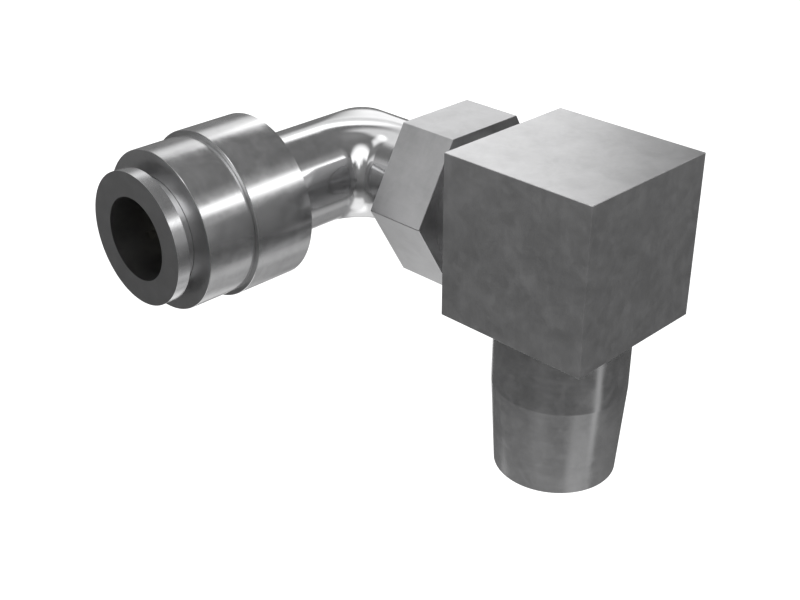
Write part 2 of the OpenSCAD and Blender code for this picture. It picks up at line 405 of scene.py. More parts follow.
def make_lit_card():
    """A lit card with soft edges on the inside of the light tent, seen in a direction."""
    group, given, made = new_group(
        "lit_card",
        [("Direction", VECTOR, None), ("Middle", VECTOR, None), ("Side", VECTOR, None),
         ("Up", VECTOR, None), ("Half Width", FLOAT, 0.2), ("Half Height", FLOAT, 0.1),
         ("Edge", FLOAT, 0.05), ("Level", FLOAT, 1.0)],
        ["Light"],
    )

    def seen(axis):
        return vectors(group, "DOT_PRODUCT", given["Direction"], given[axis], output="Value")

    def inside(value, half):
        inner = maths(group, "SUBTRACT", half, given["Edge"])
        outer = maths(group, "ADD", half, given["Edge"])
        return spread(group, maths(group, "ABSOLUTE", value), inner, outer, 1.0, 0.0, curve="SMOOTHSTEP")

    behind = 0.05  # a direction this little ahead counts as behind the card
    ahead = maths(group, "MAXIMUM", seen("Middle"), 0.0)
    facing = maths(group, "GREATER_THAN", ahead, behind)
    flat = maths(group, "MAXIMUM", ahead, behind)
    across = inside(maths(group, "DIVIDE", seen("Side"), flat), given["Half Width"])
    upward = inside(maths(group, "DIVIDE", seen("Up"), flat), given["Half Height"])
    light = maths(group, "MULTIPLY", maths(group, "MULTIPLY", across, upward), facing)
    group.links.new(maths(group, "MULTIPLY", light, given["Level"]), made["Light"])
    return group


EFFECTS = {
    "cloudy_patches": make_cloudy_patches,
    "fine_lines": make_fine_lines,
    "light_specks": make_light_specks,
    "near_block_edge": make_near_block_edge,
    "near_rim": make_near_rim,
    "lit_card": make_lit_card,
}


def effect(tree, name, values):
    """Places a shared effect, made the first time that it is asked for, and returns its outputs."""
    group = bpy.data.node_groups.get(name) or EFFECTS[name]()
    return put(tree, "ShaderNodeGroup", values, node_tree=group).outputs


# Finishes

BRIGHT = 1.5  # colour of specks and rubbed edges against the steel's
SPECK_SHARE = 0.4
WISP_SHARE = 0.5
WISP_CONTRAST = 1.5  # against the clouds'
LINE_SHADE = 0.08  # how much darker the tool marks are
LINE_DULLNESS = 0.04
WISP_DULLNESS = 0.8  # against the clouds'
WISP_FILM = 1.6  # how much thicker the dull film is in the wisps
RUBBED_LEAST = 0.4  # where an edge is rubbed least, against where it is rubbed most
RUBBED_SHINE = 0.01
LINE_HEIGHT, WAVE_HEIGHT = 0.3, 2.0
GRAIN_DULLNESS = 0.08  # of rubber and plastic
# The collet's rim and sleeve are painted lighter than its faces, as a painted highlight.
RIM_PAINTED_HIGHLIGHT = 1.35  # the collet's rim against its faces
BORE_DULLNESS = 0.12  # added to the collet's rim roughness in its bore


def new_material(name):
    """A material with no nodes, and its tree."""
    material = bpy.data.materials.new(name)
    material.use_nodes = True
    material.node_tree.nodes.clear()
    return material, material.node_tree


def new_finish(name):
    """A material with a Principled shader, its tree, the shader's inputs and the piece's coordinates."""
    finish, tree = new_material(name)
    shader = tree.nodes.new("ShaderNodeBsdfPrincipled")
    put(tree, "ShaderNodeOutputMaterial", {0: shader.outputs[0]})
    return finish, tree, shader.inputs, tree.nodes.new("ShaderNodeTexCoord").outputs["Object"]


def steel_finish(name, colour, roughness, patch=2 * MM, mottle=0.1, lines=(1, 1, 1), line_share=0.5,
                 offset=0.0, edge=None, rub=0.06, cloud_rough=0.04, bump=0.2, film=0.08):
    """Bare steel: cloudy patches in colour and gloss, fine tool marks, light specks and slightly rubbed
    edges, under a thin dull film that is thicker in the wisps. lines is the stretch of the tool marks, and
    edge is a function that gives the mask of the rubbed edges."""
    finish, tree, shader, place = new_finish(name)
    cloud = effect(tree, "cloudy_patches", {
        "Vector": place, "Patch": patch, "Softness": 0.16, "Offset": offset})
    marks = effect(tree, "fine_lines", {"Vector": place, "Stretch": lines, "Offset": offset})["Mask"]
    specks = effect(tree, "light_specks", {"Vector": place, "Spacing": patch * 0.9, "Size": 0.05})["Mask"]
    # colour: darker and lighter clouds, wisps in them, tool marks, specks and rubbed edges
    tone = blend_colours(tree, cloud["Mask"], scaled(colour, 1 - mottle), scaled(colour, 1 + mottle))
    tone = blend_colours(tree, maths(tree, "MULTIPLY", cloud["Wisp"], WISP_SHARE), tone,
                         scaled(colour, 1 + mottle * WISP_CONTRAST))
    white = (1.0, 1.0, 1.0, 1.0)
    lined = blend_colours(tree, marks, scaled(white[:3], 1 - LINE_SHADE * line_share), white)
    tone = blend_colours(tree, 1.0, tone, lined, kind="MULTIPLY")
    tone = blend_colours(tree, maths(tree, "MULTIPLY", specks, SPECK_SHARE), tone, scaled(colour, BRIGHT))
    # gloss: the clouds and wisps are duller, and the tool marks add a little
    dull = spread(tree, cloud["Mask"], 0.0, 1.0, roughness - cloud_rough, roughness + cloud_rough)
    dull = maths(tree, "ADD", dull, maths(tree, "MULTIPLY", marks, LINE_DULLNESS * line_share))
    dull = maths(tree, "ADD", dull, maths(tree, "MULTIPLY", cloud["Wisp"], cloud_rough * WISP_DULLNESS))
    if edge:
        worn = spread(tree, cloud["Mask"], 0.0, 1.0, RUBBED_LEAST, 1.0)
        worn = maths(tree, "MULTIPLY", edge(tree, place), worn)
        tone = blend_colours(tree, maths(tree, "MULTIPLY", worn, rub), tone, scaled(colour, BRIGHT))
        dull = maths(tree, "SUBTRACT", dull, maths(tree, "MULTIPLY", worn, RUBBED_SHINE))
    tree.links.new(tone, shader["Base Color"])
    tree.links.new(dull, shader["Roughness"])
    bare = spread(tree, cloud["Wisp"], 0.0, 1.0, 1 - film, 1 - film * WISP_FILM)
    tree.links.new(bare, shader["Metallic"])
    # relief: tool marks and slight waves
    height = maths(tree, "ADD", maths(tree, "MULTIPLY", marks, LINE_HEIGHT * line_share),
                   maths(tree, "MULTIPLY", cloud["Relief"], WAVE_HEIGHT))
    relief = put(tree, "ShaderNodeBump", {"Strength": bump, "Distance": 0.002 * MM, "Height": height})
    tree.links.new(relief.outputs[0], shader["Normal"])
    return finish


def block_edges(centre, half, width=0.35 * MM):
    """The mask of a square block's edges, for a finish."""
    def mask(tree, place):
        return effect(tree, "near_block_edge", {
            "Vector": place, "Centre": centre, "Half": half, "Width": width})["Mask"]
    return mask


def rim_edges(axis, first, second, width=0.25 * MM):
    """The mask of two rims at places along x, y or z, for a finish."""
    def mask(tree, place):
        along = put(tree, "ShaderNodeSeparateXYZ", {0: place}).outputs["xyz".index(axis)]
        return effect(tree, "near_rim", {
            "Along": along, "First": first, "Second": second, "Width": width})["Mask"]
    return mask


def soft_finish(name, colour, roughness, patch, mottle, bump, offset):
    """Rubber or plastic: slightly uneven colour and gloss with a fine moulded grain."""
    finish, tree, shader, place = new_finish(name)
    cloud = effect(tree, "cloudy_patches", {
        "Vector": place, "Patch": patch, "Softness": 0.2, "Offset": offset})
    tone = blend_colours(tree, cloud["Mask"], scaled(colour, 1 - mottle), scaled(colour, 1 + mottle))
    tree.links.new(tone, shader["Base Color"])
    dull = spread(tree, cloud["Grain"], 0.0, 1.0, roughness - GRAIN_DULLNESS, roughness + GRAIN_DULLNESS)
    tree.links.new(dull, shader["Roughness"])
    grain = put(tree, "ShaderNodeBump", {
        "Strength": bump, "Distance": 0.006 * MM, "Height": cloud["Relief"]})
    tree.links.new(grain.outputs[0], shader["Normal"])
    return finish


def wear(piece, *finishes, which=None):
    """Gives the piece its finishes. Where there are several, which gives the number of each face's one."""
    piece.data.materials.clear()
    for finish in finishes:
        piece.data.materials.append(finish)
    if which:
        for face in piece.data.polygons:
            face.material_index = which(face)


# What a user would change

def length(name, description, default):
    return bpy.props.FloatProperty(name=name, description=description, default=default, min=0.0,
                                   subtype="DISTANCE", unit="LENGTH", precision=5)


def tint(name, description, default):
    return bpy.props.FloatVectorProperty(name=name, description=description, default=default, size=3,
                                         min=0.0, max=1.0, subtype="COLOR")


def gloss(name, description, default):
    return bpy.props.FloatProperty(name=name, description=description, default=default, min=0.0,
                                   max=1.0, subtype="FACTOR")


def level(name, description, default):
    return bpy.props.FloatProperty(name=name, description=description, default=default, min=0.0)


class BlockSettings(bpy.types.PropertyGroup):
    side: length("Side", "Side of the square block", BLOCK_HIGH.x - BLOCK_LOW.x)
    pipe_diameter: length("Pipe size", "Outside diameter of the spigot and the stud's shank", 10.287 * MM)
    spigot_length: length("Spigot length", "Length of the spigot below the block", -BLOCK_LOW.z)
    spigot_straight: length("Spigot straight", "Length of the straight part of the spigot", 5.46 * MM)
    spigot_end: length("Spigot end", "Diameter at the spigot's lower end", 9.37 * MM)
    passage: length("Passage", "Bore of the inlet passage", 5 * MM)
    port_depth: length("Port depth", "Depth of the full-size part of the side port", 4.4 * MM)
    edge_break: length("Edge break", "Chamfer on the block's edges", 0.035 * MM)
    colour: tint("Steel", "Colour of the bare steel", (0.54, 0.54, 0.545))
    roughness: gloss("Roughness", "How dull the block is", 0.30)
    spigot_roughness: gloss("Spigot roughness", "How dull the spigot is", 0.17)


class HexSettings(bpy.types.PropertyGroup):
    flats: length("Across flats", "Width across the flats of the hexagon", HEX_HIGH.z - HEX_LOW.z)
    thickness: length("Thickness", "Thickness of the hexagon", 5 * MM)
    relief: length("Relief bore", "Bore of the stud's inner end", 8.2 * MM)
    edge_break: length("Edge break", "Chamfer on the hexagon's edges", 0.035 * MM)
    colour: tint("Steel", "Colour of the bare steel", (0.445, 0.445, 0.45))
    roughness: gloss("Roughness", "How dull the hexagon is", 0.31)


class ElbowSettings(bpy.types.PropertyGroup):
    diameter: length("Diameter", "Outside diameter of the elbow", 8 * MM)
    corner_tight: length("Tight corner", "Plan radius at the innermost, outermost and widest lines",
                         1.33 * MM)
    corner_wide: length("Wide corner", "Plan radius near the top and bottom of the section", 5 * MM)
    passage: length("Passage", "Bore of the grease passage", 3.2 * MM)
    journal: length("Journal", "Diameter of the journal that turns in the stud", 6 * MM)
    tube_stop: length("Tube stop", "From the stud's axis to the shoulder that stops the tube", 8 * MM)
    socket: length("Socket", "Bore that takes the tube's end", 6.2 * MM)
    colour: tint("Steel", "Colour of the bare steel", (0.56, 0.56, 0.565))
    roughness: gloss("Roughness", "How dull the polish is", 0.11)


class SocketSettings(bpy.types.PropertyGroup):
    housing_diameter: length("Housing", "Diameter of the socket housing", HOUSING_HIGH.x - HOUSING_LOW.x)
    cap_diameter: length("Cap", "Diameter of the cap that carries the collet", CAP_HIGH.x - CAP_LOW.x)
    press_diameter: length("Press fit", "Diameter at which the cap is pressed in", 10.4 * MM)
    seat_diameter: length("Seal seat", "Bore that holds the tube seal", 9.0 * MM)
    lip_diameter: length("Lip", "Bore of the cap's lip", 8.22 * MM)
    cam_diameter: length("Cam", "Large bore behind the cam", 9.5 * MM)
    edge_break: length("Edge break", "Chamfer on the turned edges", 0.035 * MM)
    colour: tint("Steel", "Colour of the bare steel", (0.58, 0.58, 0.585))
    roughness: gloss("Roughness", "How dull the turned outsides are", 0.16)
    face_roughness: gloss("Face roughness", "How dull the faces square to the axis are", 0.30)
    # The inside colour is darker than the outside steel: painted shade in the bores.
    inside_painted_shade: tint("Inside", "Colour of the oily steel inside", (0.37, 0.37, 0.37))


class ColletSettings(bpy.types.PropertyGroup):
    flange_diameter: length("Flange", "Diameter of the release flange", COLLET_HIGH.x - COLLET_LOW.x)
    flange_thickness: length("Flange thickness", "Thickness of the release flange", 1 * MM)
    sleeve_diameter: length("Sleeve", "Outside diameter of the sleeve", 8.2 * MM)
    head_diameter: length("Heads", "Diameter of the fingers' heads", 9.2 * MM)
    bore: length("Bore", "Bore of the collet", 6.25 * MM)
    slot_width: length("Slots", "Width of the slots between the fingers", 0.6 * MM)
    colour: tint("Steel", "Colour of the bare steel", (0.47, 0.47, 0.475))
    roughness: gloss("Roughness", "How dull the flange's faces are", 0.30)
    rim_roughness: gloss("Rim roughness", "How dull the rim and the sleeve are", 0.18)
    # The bore colour is darker than the collet's steel: painted shade in the bore.
    bore_painted_shade: tint("Bore", "Colour of the oily steel in the bore", (0.37, 0.37, 0.37))


class SealSettings(bpy.types.PropertyGroup):
    rubber: tint("Rubber", "Colour of the ring seals", (0.018, 0.018, 0.02))
    plastic: tint("Plastic", "Colour of the backing ring", (0.70, 0.66, 0.56))
    spring: tint("Spring", "Colour of the clip's steel", (0.40, 0.40, 0.42))


class StudioSettings(bpy.types.PropertyGroup):
    backdrop: tint("Backdrop", "Colour of the floor and background", (1.0, 1.0, 1.0))
    tent_level: level("Tent", "Brightness of the light tent", 1.0)
    card_level: level("Cards", "Brightness of the lit cards in the tent", 1.0)
    floor_depth: length("Floor", "How far the floor lies below the block's underside", 0.25)


# Pieces

class FITTING_OT_adapter_block(bpy.types.Operator):
    """Model the square adapter block with its spigot, passage and side port"""
    bl_idname = "fitting.adapter_block"
    bl_label = "Adapter block"

    def execute(self, context):
        s = context.scene.fitting_block
        half, pipe, passage = s.side / 2, s.pipe_diameter / 2, s.passage / 2
        put_down()
        bpy.ops.mesh.primitive_cube_add(size=s.side, location=(0, 0, half))
        block = named("adapter_block")
        break_edges(block, s.edge_break)
        spigot = turned("spigot", [
            (0, half), (pipe, half), (pipe, -s.spigot_straight), (s.spigot_end / 2, -s.spigot_length),
            (0, -s.spigot_length)], SPIGOT_AXIS)
        joined(block, spigot, "UNION")
        outside, port_end, chamber = -half - OVERLAP, s.port_depth - half, pipe - PORT_STEP
        chamber_end = port_end + CHAMBER_LENGTH
        port = turned("side_port", [
            (0, outside), (pipe, outside), (pipe, port_end), (chamber, port_end + PORT_STEP),
            (chamber, chamber_end), (0, chamber_end + chamber * DRILL_POINT)], STUD_AXIS)
        joined(block, port, "DIFFERENCE")
        below = -s.spigot_length - OVERLAP
        inlet = turned("inlet_passage", [(0, below), (passage, below), (passage, half), (0, half)],
                       SPIGOT_AXIS, steps=STEPS // 2)
        joined(block, inlet, "DIFFERENCE")
        smooth(block)
        milled = steel_finish(
            "milled_block_steel", s.colour, s.roughness, patch=2.2 * MM, lines=(1.0, 1.0, 0.05),
            line_share=0.3, offset=1.3, edge=block_edges((0, 0, half), (half, half, half)),
            cloud_rough=0.015, film=0.1)
        spun = steel_finish(
            "turned_spigot_steel", s.colour, s.spigot_roughness, patch=1.8 * MM, lines=(0.04, 0.04, 1.0),
            line_share=0.6, offset=6.7, bump=0.1)
        wear(block, milled, spun, which=lambda face: int(face.center.z < -NEAR))
        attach(block, "adapter")
        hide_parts("block_body")
        return {"FINISHED"}


class FITTING_OT_hex_stud(bpy.types.Operator):
    """Model the hexagon with its shank, bored in steps for the swivel journal"""
    bl_idname = "fitting.hex_stud"
    bl_label = "Hexagon and shank"

    def execute(self, context):
        s, elbow = context.scene.fitting_hex, context.scene.fitting_elbow
        pipe, near = context.scene.fitting_block.pipe_diameter / 2, HEX_FAR + s.thickness
        put_down()
        bpy.ops.mesh.primitive_cylinder_add(
            vertices=6, radius=s.flats / 2 / math.cos(math.pi / 6), depth=s.thickness,
            location=((HEX_FAR + near) / 2, 0, AXIS_Z), rotation=(0, math.pi / 2, 0))
        hexagon = named("hexagon_stud")
        break_edges(hexagon, s.edge_break)
        shank = turned("shank", [
            (0, near - OVERLAP), (pipe, near - OVERLAP), (pipe, SHANK_END - SHANK_CHAMFER),
            (pipe - SHANK_CHAMFER, SHANK_END), (0, SHANK_END)], STUD_AXIS)
        joined(hexagon, shank, "UNION")
        mouth, neck = elbow.diameter / 2 + SWIVEL_CLEARANCE, elbow.journal / 2 + SWIVEL_CLEARANCE
        outside, shoulder, beyond = HEX_FAR - OVERLAP, HEX_FAR + MOUTH_DEPTH, SHANK_END + OVERLAP
        bore = turned("stud_bore", [
            (0, outside), (mouth, outside), (mouth, shoulder), (neck, shoulder), (neck, BLOCK_LOW.x),
            (s.relief / 2, BLOCK_LOW.x), (s.relief / 2, beyond), (0, beyond)], STUD_AXIS)
        joined(hexagon, bore, "DIFFERENCE")
        smooth(hexagon)
        satin = steel_finish(
            "satin_hexagon_steel", s.colour, s.roughness, patch=2.4 * MM, mottle=0.11,
            lines=(0.06, 1.0, 1.0), offset=4.1, edge=rim_edges("x", HEX_FAR, near), cloud_rough=0.02,
            bump=0.1)
        wear(hexagon, satin)
        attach(hexagon, "adapter")
        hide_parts("hex_stud")
        return {"FINISHED"}


def on_mitre(v):
    """Whether a point lies where the elbow's legs meet, at 45 degrees."""
    return abs(v.co.x - CORNER_X + v.co.y) < NEAR


def mitred_legs(r, shoulder):
    """Two open tubes that meet in a mitre, left in edit mode."""
    back = CORNER_X - 2 * r
    put_down()
    bpy.ops.mesh.primitive_cylinder_add(
        vertices=160, radius=r, depth=shoulder - back, end_fill_type="NOTHING",
        location=((shoulder + back) / 2, 0, AXIS_Z), rotation=(0, math.pi / 2, 0))
    elbow = named("polished_elbow")
    open_up()
    cut_off(TUBE_AXIS[0], (1, 1, 0))
    choose("EDGE", lambda e: all(on_mitre(v) for v in e.verts))
    bpy.ops.mesh.extrude_region_move(TRANSFORM_OT_translate={"value": (0, -TUBE_END - 2 * r, 0)})
    bpy.ops.mesh.select_all(action="SELECT")
    cut_off((0, -TUBE_END, 0), (0, 1, 0))
    return elbow


def round_corner(elbow, tight, wide):
    """Rounds the mitre: tight on the inside and the outside, and widest towards the top and bottom."""
    widest = math.radians(80)  # round the section from the innermost line
    shape = bmesh.from_edit_mesh(elbow.data)
    weights = shape.edges.layers.float.new("bevel_weight_edge")
    for e in shape.edges:
        if all(on_mitre(v) for v in e.verts):
            middle = (e.verts[0].co + e.verts[1].co) / 2
            angle = abs(math.atan2(middle.z - AXIS_Z, -middle.y))
            share = max(math.cos(angle - widest), 0) ** 8
            lean = (e.verts[1].co - e.verts[0].co).normalized().x
            e[weights] = (tight + (wide - tight) * share) / wide * math.sqrt(1 - lean * lean)
    bmesh.update_edit_mesh(elbow.data)
    bpy.ops.object.mode_set(mode="OBJECT")
    fillet = elbow.modifiers.new("corner", "BEVEL")
    fillet.offset_type = "OFFSET"
    fillet.limit_method = "WEIGHT"
    fillet.width = wide
    fillet.segments = 32
    fillet.profile = 0.5
    fillet.use_clamp_overlap = False
    bpy.ops.object.modifier_apply(modifier=fillet.name)


def turn_seat_and_passage(r, socket, bore, tube_stop):
    """Turns the open end inwards to the tube's seat, and on to the passage that turns the corner."""
    def in_passage(f):
        return f.calc_center_median().y > NEAR - tube_stop and all(
            from_axis(v.co, TUBE_AXIS) < bore + NEAR and v.co.y > -tube_stop - NEAR for v in f.verts)

    choose_rim(1, -TUBE_END)
    carry_ring(TUBE_AXIS, 0, r, socket)
    carry_ring(TUBE_AXIS, tube_stop - TUBE_END, socket, socket)
    carry_ring(TUBE_AXIS, 0, socket, bore)
    carry_ring(TUBE_AXIS, -tube_stop - 2 * bore, bore, bore)
    choose("FACE", in_passage)
    cut_off(TUBE_AXIS[0], (1, 1, 0), ahead=True)
    choose("EDGE", lambda e: e.is_boundary and all(
        on_mitre(v) and from_axis(v.co, STUD_AXIS) < bore + NEAR for v in e.verts))
    carry_ring(STUD_AXIS, JOURNAL_END - CORNER_X + 2 * bore, bore, bore)
    choose("FACE", lambda f: any(v.co.x > JOURNAL_END + NEAR for v in f.verts))
    cut_off((JOURNAL_END, 0, 0), (1, 0, 0), ahead=True)


def turn_journal(r, journal, shoulder):
    """Steps the open shoulder down to the journal with its grooves, and closes it on the passage."""
    seal_start, seal_end = (shoulder + distance for distance in SEAL_GROOVE)
    clip_start, clip_end = (BLOCK_LOW.x + distance for distance in CLIP_GROOVE)
    clip_radius = journal - CLIP_GROOVE_DEPTH
    choose_rim(0, shoulder)
    here, size = shoulder, r
    for place, radius in (
            (shoulder, journal), (seal_start, journal), (seal_start, SEAL_GROOVE_RADIUS),
            (seal_end, SEAL_GROOVE_RADIUS), (seal_end, journal), (clip_start, journal),
            (clip_start, clip_radius), (clip_end, clip_radius), (clip_end, journal),
            (JOURNAL_END - JOURNAL_CHAMFER, journal), (JOURNAL_END, journal - JOURNAL_CHAMFER)):
        carry_ring(STUD_AXIS, place - here, size, radius)
        here, size = place, radius
    choose_rim(0, JOURNAL_END)
    bpy.ops.mesh.bridge_edge_loops()


class FITTING_OT_swivel_elbow(bpy.types.Operator):
    """Model the polished elbow with its swivel journal, grease passage and tube seat"""
    bl_idname = "fitting.swivel_elbow"
    bl_label = "Swivel elbow"

    def execute(self, context):
        s = context.scene.fitting_elbow
        shoulder = HEX_FAR + ELBOW_ENTRY
        elbow = mitred_legs(s.diameter / 2, shoulder)
        round_corner(elbow, s.corner_tight, s.corner_wide)
        bpy.ops.object.mode_set(mode="EDIT")
        turn_seat_and_passage(s.diameter / 2, s.socket / 2, s.passage / 2, s.tube_stop)
        turn_journal(s.diameter / 2, s.journal / 2, shoulder)
        close_up()
        smooth(elbow, 20)
        wear(elbow, steel_finish(
            "polished_elbow_steel", s.colour, s.roughness, patch=2.4 * MM, mottle=0.05, line_share=0.15,
            offset=8.6, cloud_rough=0.03, bump=0.03, film=0.09))
        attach(elbow, "elbow")
        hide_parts("elbow_body")
        return {"FINISHED"}


class FITTING_OT_socket_rings(bpy.types.Operator):
    """Turn the socket housing and the cap that is pressed into it"""
    bl_idname = "fitting.socket_rings"
    bl_label = "Socket housing and cap"

    def execute(self, context):
        s = context.scene.fitting_socket
        hole, press = context.scene.fitting_elbow.diameter / 2, s.press_diameter / 2
        outside, cap_outside = s.housing_diameter / 2, s.cap_diameter / 2
        seat, lip, cam = s.seat_diameter / 2, s.lip_diameter / 2, s.cam_diameter / 2
        seat_end = TUBE_END + SEAT_LENGTH
        cap_back, cam_front = seat_end + BACKING_LENGTH, CAP_END - LIP_LENGTH
        housing = turned("socket_housing_ring", [
            (hole, HOUSING_BACK), (outside, HOUSING_BACK), (outside, CAP_START), (press, CAP_START),
            (press, seat_end), (seat, seat_end), (seat, TUBE_END), (hole, TUBE_END)],
            TUBE_AXIS, s.edge_break)
        cap = turned("socket_cap_ring", [
            (cam, cap_back), (press, cap_back), (press, CAP_START), (cap_outside, CAP_START),
            (cap_outside, CAP_END), (lip, CAP_END), (lip, cam_front),
            (cam, cam_front - (cam - lip) * CAM_SLOPE)], TUBE_AXIS, s.edge_break)

        def which(face):
            """0 on the round outside, 1 on the outer faces square to the axis, 2 inside."""
            to_end = min(abs(face.center.y + end) for end in (HOUSING_BACK, CAP_START, CAP_END))
            if abs(face.normal.y) > 0.5 and to_end < NEAR:
                return 1
            return 0 if from_axis(face.center, TUBE_AXIS) > press + CLEAR else 2

        # The inside is darker steel: painted shade in the bores.
        shaded_inside = steel_finish(
            "oiled_socket_steel", s.inside_painted_shade, s.face_roughness, mottle=0.08, line_share=0.4,
            offset=27.3, cloud_rough=0.015, bump=0.05, film=0.02)
        for piece, node, offset, rims in (
                (housing, "socket_housing", 11.2, (-HOUSING_BACK, -CAP_START)),
                (cap, "cartridge_cap", 15.7, (-CAP_START, -CAP_END))):
            smooth(piece)
            steel = piece.name.replace("_ring", "_steel")
            round_finish = steel_finish(
                "turned_" + steel, s.colour, s.roughness, lines=(0.05, 1.0, 0.05), offset=offset,
                edge=rim_edges("y", *rims), rub=0.04, bump=0.1)
            face_finish = steel_finish(
                "faced_" + steel, s.colour, s.face_roughness, mottle=0.05, line_share=0.4,
                offset=offset + 1.7, cloud_rough=0.015, bump=0.1, film=0.05)
            wear(piece, round_finish, face_finish, shaded_inside, which=which)
            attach(piece, "elbow")
            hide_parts(node)
        return {"FINISHED"}


class FITTING_OT_release_collet(bpy.types.Operator):
    """Turn the release collet and saw the slots between its fingers"""
    bl_idname = "fitting.release_collet"
    bl_label = "Release collet"

    def execute(self, context):
        s = context.scene.fitting_collet
        flange, sleeve, head, bore = (
            size / 2 for size in (s.flange_diameter, s.sleeve_diameter, s.head_diameter, s.bore))
        flange_back = COLLET_FACE - s.flange_thickness
        neck_end = CAP_END - LIP_LENGTH - HEAD_GAP
        bite = COLLET_END + BITE_LENGTH
        collet = turned("release_collet_ring", [
            (bore, COLLET_FACE), (flange, COLLET_FACE), (flange, flange_back), (sleeve, flange_back),
            (sleeve, neck_end), (head, neck_end - (head - sleeve) * CAM_SLOPE),
            (head, COLLET_END + HEAD_CHAMFER), (head - HEAD_CHAMFER, COLLET_END),
            (bore + FINGER_END_WALL, COLLET_END), (bore - BITE_HEIGHT, bite), (bore, bite + BITE_LENGTH)],
            TUBE_AXIS)
        root, mouth = CAP_END - SLOT_START, COLLET_END - OVERLAP
        for turn in SLOT_TURNS:
            put_down()
            bpy.ops.mesh.primitive_cube_add(
                size=1, location=(CORNER_X, -(root + mouth) / 2, AXIS_Z),
                scale=(2 * (head + OVERLAP), root - mouth, s.slot_width),
                rotation=(0, math.radians(turn), 0))
            joined(collet, named("saw"), "DIFFERENCE")
        smooth(collet)

        def which(face):
            """0 on the flange's faces, 1 on the rim and round the sleeve and heads, 2 elsewhere."""
            if abs(face.normal.y) > 0.5:
                return 0 if -face.center.y > flange_back - NEAR else 2
            return 1 if from_axis(face.center, TUBE_AXIS) > sleeve - CLEAR else 2

        faced = steel_finish(
            "satin_collet_steel", s.colour, s.roughness, mottle=0.05, line_share=0.3, offset=19.4,
            cloud_rough=0.015, bump=0.1, film=0.04)
        # The rim and sleeve take the steel's colour made lighter, as a painted highlight on them.
        spun = steel_finish(
            "turned_collet_steel", scaled(s.colour, RIM_PAINTED_HIGHLIGHT)[:3], s.rim_roughness, mottle=0.06,
            lines=(0.05, 1.0, 0.05), line_share=0.4, offset=21.8, bump=0.1)
        # The bore is darker steel: painted shade in the bore.
        shaded_inside = steel_finish(
            "oiled_bore_steel", s.bore_painted_shade, s.rim_roughness + BORE_DULLNESS, mottle=0.08,
            line_share=0.4, offset=25.1, cloud_rough=0.015, bump=0.05, film=0.02)
        wear(collet, faced, spun, shaded_inside, which=which)
        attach(collet, "release_collet")
        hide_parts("collet")
        return {"FINISHED"}


class FITTING_OT_hidden_rings(bpy.types.Operator):
    """Finish the ring seals, the retaining clip and the backing ring, whose solids are right as they are"""
    bl_idname = "fitting.hidden_rings"
    bl_label = "Seals, clip and backing ring"

    def execute(self, context):
        s = context.scene.fitting_seals
        rubber = soft_finish("black_seal_rubber", s.rubber, roughness=0.55, patch=0.8 * MM, mottle=0.25,
                             bump=0.4, offset=2.2)
        plastic = soft_finish("cream_backing_plastic", s.plastic, roughness=0.45, patch=1.2 * MM,
                              mottle=0.05, bump=0.25, offset=5.9)
        spring = steel_finish("spring_clip_steel", s.spring, roughness=0.3, patch=1.2 * MM,
                              lines=(0.1, 1.0, 1.0), offset=23.5)
        for node, finish in (("swivel_seal", rubber), ("tube_seal", rubber), ("swivel_clip", spring),
                             ("backing_ring", plastic)):
            wear(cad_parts[node], finish)
        return {"FINISHED"}


# Studio

# Found from the edges of the block and the hexagon in the photograph
CAMERA_PLACE = (48.902 * MM, -65.849 * MM, 45.253 * MM)
CAMERA_TURN = (61.507, 0.027, 44.995)
CAMERA_LENS = 57.055
SENSOR_WIDTH = 36.0
TENT_RADIUS = 0.24
FLOOR_SIZE = 6.0
ROOM_LEVEL = 0.8  # the white room's light on the object
PAPER_SHADE, PAPER_GLOW = 0.85, 0.6

# Cards on the light tent: azimuth from -Y towards +X, elevation, half width, half height and soft edge in
# degrees, and how much each adds to the tent's own level. A negative one is a dark flag.
CARDS = {
    "right_strip": (131.5, 31, 9.5, 5.5, 4, 2.6),
    "right_strip_glow": (132, 39, 12, 9, 6, 0.25),
    "rear_strip": (-137, 37, 8, 5.5, 3, 2.0),
    "rear_strip_end": (-123, 32, 7, 9, 7, 1.0),
    "rear_fill": (-137, 27, 8, 5, 4, 0.5),
    "rear_low": (-137, 14, 9, 9, 3, 1.3),
    "left_glow": (-95, 55, 15, 20, 8, 1.0),
    "corner_glint": (-58, 58, 14, 6, 4, 1.4),
    "front_card": (-30, 22, 15, 12, 5, 0.95),
    "front_wall": (-10, 42, 60, 16, 10, 0.1),
    "key_softbox": (38, 55, 36, 8, 5, 1.9),
    "key_middle": (40, 43, 17, 6, 5, 1.3),
    "key_tail": (42, 36, 6, 7, 4, 1.3),
    "right_wall": (126, 12, 14, 14, 8, 0.22),
    "low_right": (105, -31, 4, 11, 3, 0.55),
    "lower_right": (82, -46, 14, 8, 7, 0.25),
    "low_front": (12, -40, 8, 7, 6, 0.05),
    "low_rear": (-140, -33, 7, 10, 4, 0.35),
    "low_rear_rim": (-127, -31, 6, 5, 3, 1.0),
    "lower_rear": (152, -52, 9, 7, 4, 0.25),
    "under_left": (-100, -62, 22, 16, 5, 0.65),
    "floor_glow": (45, -86, 20, 20, 8, 0.9),
    "left_flag": (-60, 15, 9, 26, 5, -0.12),
}
# The tent's own level from straight down to straight up, against the sine of the elevation
TENT = (
    (-1.0, 0.60), (-0.90, 0.48), (-0.74, 0.32), (-0.60, 0.13), (-0.45, 0.08), (-0.25, 0.14),
    (0.0, 0.22), (0.30, 0.26), (0.60, 0.22), (0.80, 0.18), (0.92, 0.22), (1.0, 0.35),
)


def towards(azimuth, elevation):
    """The direction with an azimuth from -Y towards +X and an elevation, in degrees."""
    a, e = math.radians(azimuth), math.radians(elevation)
    return Vector((math.sin(a) * math.cos(e), -math.cos(a) * math.cos(e), math.sin(e)))


